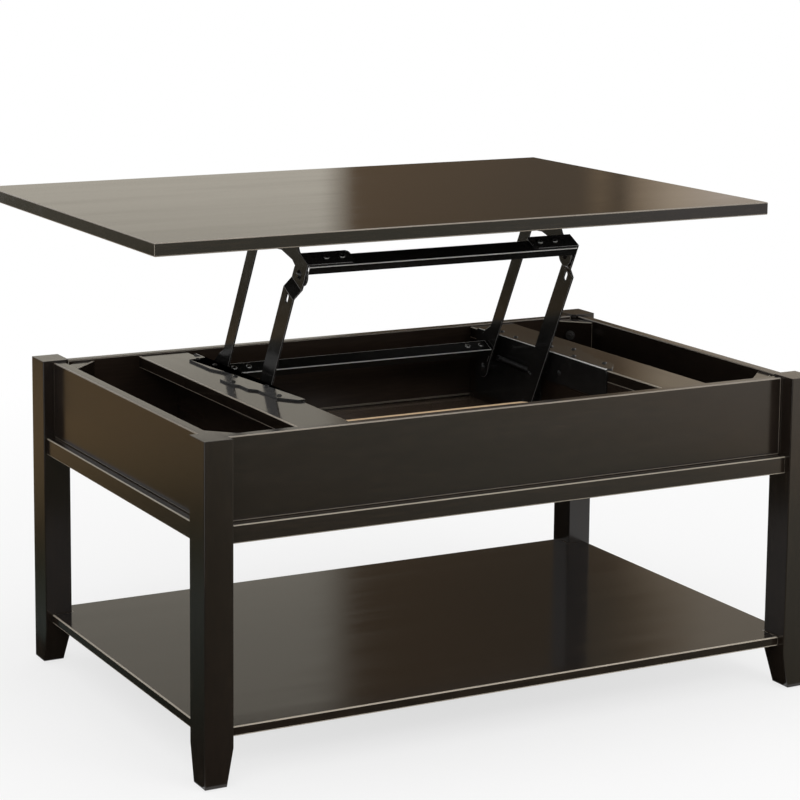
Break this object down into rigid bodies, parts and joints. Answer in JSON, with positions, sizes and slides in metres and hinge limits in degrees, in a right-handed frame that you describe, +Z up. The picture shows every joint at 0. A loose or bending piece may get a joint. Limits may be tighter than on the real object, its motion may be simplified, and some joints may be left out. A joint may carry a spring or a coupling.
{
  "type": "lift-top coffee table",
  "caption": "Rectangular lift-top coffee table with storage well, lower shelf and tapered legs; the top swings up and back on parallel steel arms.",
  "frame": {"origin": "on the floor, in the middle of the table's outline with its top raised; the base's own middle is 95.6 mm towards -Y", "axes": "+X along the table to the right, +Y from the front apron to the rear one, the way the top travels as it lifts, +Z up"},
  "size_m": [1.143, 0.9242, 0.8147],
  "materials": {
    "lacquer": "dark espresso satin lacquer",
    "top_lacquer": "dark espresso gloss lacquer",
    "well_board": "dark brown stained board",
    "raw_pine": "unfinished softwood",
    "black_steel": "black enamelled pressed steel",
    "zinc_steel": "zinc plated",
    "spring_steel": "oiled spring wire",
    "nylon": "matt"
  },
  "bodies": {
    "base": {"leg_front_left": "lacquer", "leg_front_right": "lacquer", "leg_rear_left": "lacquer", "leg_rear_right": "lacquer", "foot_glide_front_left": "nylon", "foot_glide_front_right": "nylon", "foot_glide_rear_left": "nylon", "foot_glide_rear_right": "nylon", "shelf_dowel_front_left": "raw_pine", "shelf_dowel_front_right": "raw_pine", "shelf_dowel_rear_left": "raw_pine", "shelf_dowel_rear_right": "raw_pine", "corner_block_front_left": "lacquer", "corner_block_front_right": "lacquer", "corner_block_rear_left": "lacquer", "corner_block_rear_right": "lacquer", "corner_bolt_front_left": "zinc_steel", "corner_bolt_front_right": "zinc_steel", "corner_bolt_rear_left": "zinc_steel", "corner_bolt_rear_right": "zinc_steel", "front_apron": "lacquer", "rear_apron": "lacquer", "left_apron": "lacquer", "right_apron": "lacquer", "front_rail": "lacquer", "rear_rail": "lacquer", "left_rail": "lacquer", "right_rail": "lacquer", "divider_left": "well_board", "divider_right": "well_board", "divider_cap_left": "lacquer", "divider_cap_right": "lacquer", "well_floor": "well_board", "front_cleat": "raw_pine", "shelf": "lacquer", "base_bracket_left": "black_steel", "base_bracket_right": "black_steel", "lower_front_pin_left": "black_steel", "lower_front_pin_right": "black_steel", "lower_rear_pin_left": "black_steel", "lower_rear_pin_right": "black_steel", "spring_left": "spring_steel", "spring_right": "spring_steel"},
    "front_arms": {"front_arm_left": "black_steel", "front_arm_right": "black_steel", "upper_cross_bar": "black_steel"},
    "rear_arms": {"rear_arm_left": "black_steel", "rear_arm_right": "black_steel", "lower_bar_clip_left": "black_steel", "lower_bar_clip_right": "black_steel", "lower_cross_bar": "black_steel"},
    "top": {"top_panel": "top_lacquer", "top_bracket_left": "black_steel", "top_bracket_right": "black_steel", "upper_front_pin_left": "black_steel", "upper_front_pin_right": "black_steel", "upper_rear_pin_left": "black_steel", "upper_rear_pin_right": "black_steel"}
  },
  "joints": [
    {"name": "lift", "type": "hinge", "parent": "base", "child": "front_arms", "pos_m": [0, -0.00962, 0.432], "axis": [1, 0, 0], "range_deg": [0, 55.6], "stiffness_Nm_per_rad": 18, "springref_deg": -81.36, "deforming": ["spring_left", "spring_right"]},
    {"name": "rear_arm_swing", "type": "hinge", "parent": "base", "child": "rear_arms", "pos_m": [0, 0.13537, 0.473], "axis": [1, 0, 0], "range_deg": [0, 55.6]},
    {"name": "top_level", "type": "hinge", "parent": "front_arms", "child": "top", "pos_m": [0, -0.162, 0.72471], "axis": [1, 0, 0], "range_deg": [-55.6, 0]}
  ],
  "couplings": [
    {"joint": "rear_arm_swing", "follows": "lift", "ratio": 1},
    {"joint": "top_level", "follows": "lift", "ratio": -1}
  ]
}
